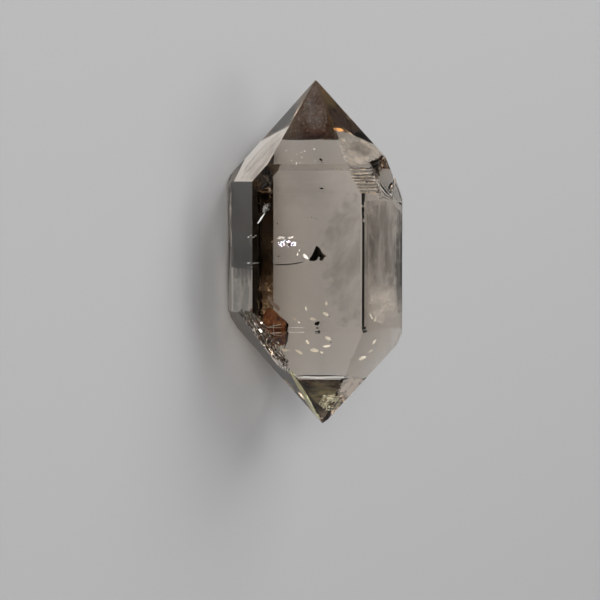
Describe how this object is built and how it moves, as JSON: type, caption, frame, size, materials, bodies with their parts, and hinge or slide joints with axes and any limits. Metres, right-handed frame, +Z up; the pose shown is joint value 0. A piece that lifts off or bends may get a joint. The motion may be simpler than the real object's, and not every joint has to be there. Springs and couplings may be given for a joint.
{
  "type": "double terminated quartz crystal",
  "caption": "Natural smoky quartz crystal with a point at each end, lying on a flat prism face: a display piece or something to hand on a shelf.",
  "frame": {"origin": "on the surface that the crystal lies on, under the middle of its box", "axes": "+X along the long axis towards the larger point, +Z up, square to the resting face; the large flat face looks towards -Y and up"},
  "size_m": [0.0344, 0.0168, 0.0156],
  "materials": {
    "smoky_quartz": "clear, faintly brown, with glassy natural faces"
  },
  "bodies": {
    "root": {"quartz_crystal": "smoky_quartz"}
  },
  "joints": []
}
